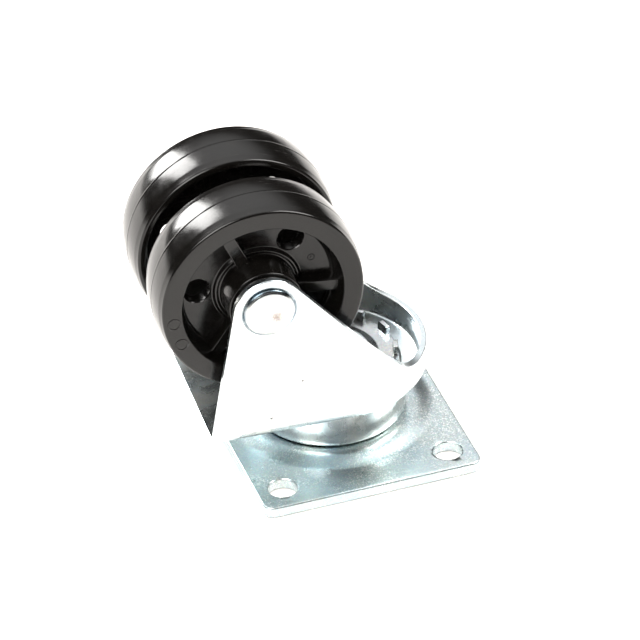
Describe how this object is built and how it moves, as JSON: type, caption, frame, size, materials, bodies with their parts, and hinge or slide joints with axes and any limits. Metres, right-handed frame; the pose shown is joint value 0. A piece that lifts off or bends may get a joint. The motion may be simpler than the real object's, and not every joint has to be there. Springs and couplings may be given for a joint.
{
  "type": "twin-wheel swivel plate caster",
  "caption": "Swivel plate caster with twin black plastic wheels in a pressed zinc-plated yoke, on a rectangular bolt-on mounting plate with a ball-race swivel.",
  "frame": {"origin": "centre of the mounting plate's flat mounting face, on the swivel axis", "axes": "+Z along the swivel axis from the mounting face towards the wheels (down in use, up as it lies here); X and Y along the plate's short and long edges; at rest the axle trails to -X, turned 3 degrees about Z"},
  "size_m": [0.0923, 0.085, 0.0969],
  "materials": {
    "zinc_plate": "bright zinc plate",
    "zinc_sheet": "bright zinc plate",
    "zinc_bright": "bright zinc plate",
    "steel": "plain turned steel",
    "ball": "polished hardened steel",
    "wheel": "gloss black moulded plastic"
  },
  "bodies": {
    "mount": {"top_plate": "zinc_plate", "king_post": "zinc_bright", "inner_cone": "zinc_bright"},
    "fork": {"yoke": "zinc_sheet", "race_drum": "zinc_sheet", "hold_race": "steel", "axle_rivet": "zinc_bright", "axle_sleeve": "steel", "washer_near": "steel", "washer_far": "steel", "centre_spacer": "steel"},
    "near_wheel": {"wheel_near": "wheel"},
    "far_wheel": {"wheel_far": "wheel"},
    "load_balls": {"load_ball_1": "ball", "load_ball_2": "ball", "load_ball_3": "ball", "load_ball_4": "ball", "load_ball_5": "ball", "load_ball_6": "ball", "load_ball_7": "ball", "load_ball_8": "ball", "load_ball_9": "ball", "load_ball_10": "ball", "load_ball_11": "ball", "load_ball_12": "ball", "load_ball_13": "ball", "load_ball_14": "ball", "load_ball_15": "ball", "load_ball_16": "ball", "load_ball_17": "ball", "load_ball_18": "ball"},
    "hold_balls": {"hold_ball_1": "ball", "hold_ball_2": "ball", "hold_ball_3": "ball", "hold_ball_4": "ball", "hold_ball_5": "ball", "hold_ball_6": "ball", "hold_ball_7": "ball", "hold_ball_8": "ball", "hold_ball_9": "ball", "hold_ball_10": "ball", "hold_ball_11": "ball", "hold_ball_12": "ball", "hold_ball_13": "ball", "hold_ball_14": "ball", "hold_ball_15": "ball", "hold_ball_16": "ball"}
  },
  "joints": [
    {"name": "swivel", "type": "hinge", "parent": "mount", "child": "fork", "pos_m": [0, 0, 0.0054], "axis": [0, 0, 1], "continuous": true},
    {"name": "near_wheel_spin", "type": "hinge", "parent": "fork", "child": "near_wheel", "pos_m": [-0.02526, 0.00132, 0.0651], "axis": [0.0523, 0.9986, 0], "continuous": true},
    {"name": "far_wheel_spin", "type": "hinge", "parent": "fork", "child": "far_wheel", "pos_m": [-0.02526, 0.00132, 0.0651], "axis": [0.0523, 0.9986, 0], "continuous": true},
    {"name": "load_balls_orbit", "type": "hinge", "parent": "mount", "child": "load_balls", "pos_m": [0, 0, 0.0054], "axis": [0, 0, 1], "continuous": true},
    {"name": "hold_balls_orbit", "type": "hinge", "parent": "mount", "child": "hold_balls", "pos_m": [0, 0, 0.0054], "axis": [0, 0, 1], "continuous": true}
  ],
  "couplings": [
    {"joint": "load_balls_orbit", "follows": "swivel", "ratio": 0.5},
    {"joint": "hold_balls_orbit", "follows": "swivel", "ratio": 0.5}
  ]
}
